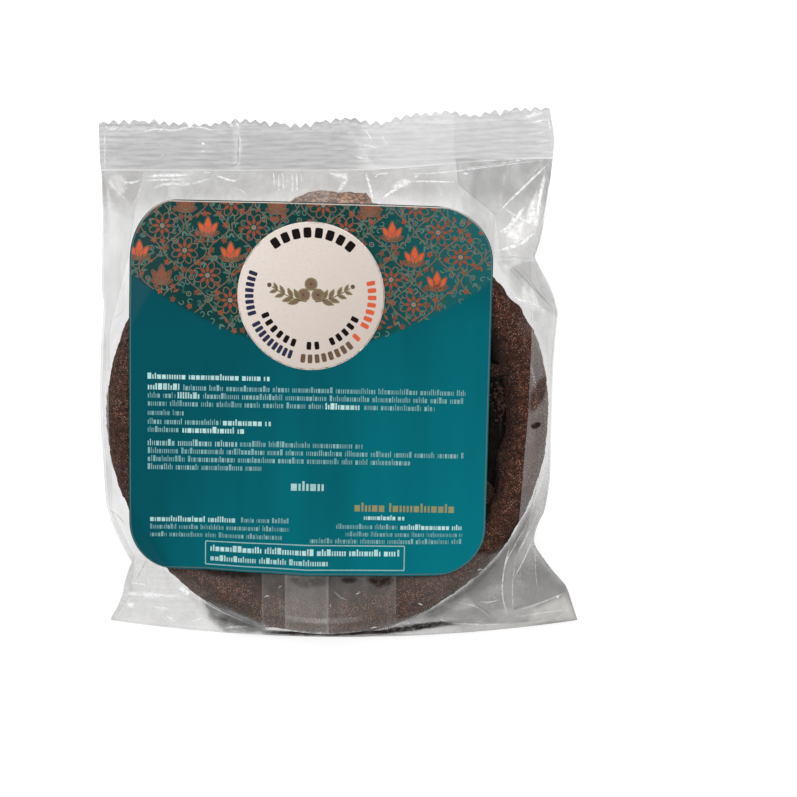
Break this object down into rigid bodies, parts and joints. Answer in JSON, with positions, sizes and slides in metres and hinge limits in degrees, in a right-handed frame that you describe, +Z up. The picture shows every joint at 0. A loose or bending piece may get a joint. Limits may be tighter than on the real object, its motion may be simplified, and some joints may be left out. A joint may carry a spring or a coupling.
{
  "type": "packed chocolate blueberry tart",
  "caption": "Round cocoa shortcrust tart with dark jam, sealed in a clear crimped film pack with a rounded square label, lying on its back.",
  "frame": {"origin": "middle of the pack's box, on the surface that the pack lies on", "axes": "+Y along the pack from the folded end to the cut end, +X across it to the right of the label, +Z up through the label"},
  "size_m": [0.115, 0.128, 0.0165],
  "materials": {
    "clear_film": "clear glossy film, slightly hazy where layers lie over each other",
    "printed_label": "satin printed label stock",
    "cocoa_crust": "rough dark brown baked crust",
    "dark_jam": "glossy nearly black jam"
  },
  "bodies": {
    "root": {"film_bag": "clear_film", "label": "printed_label"}
  },
  "joints": []
}
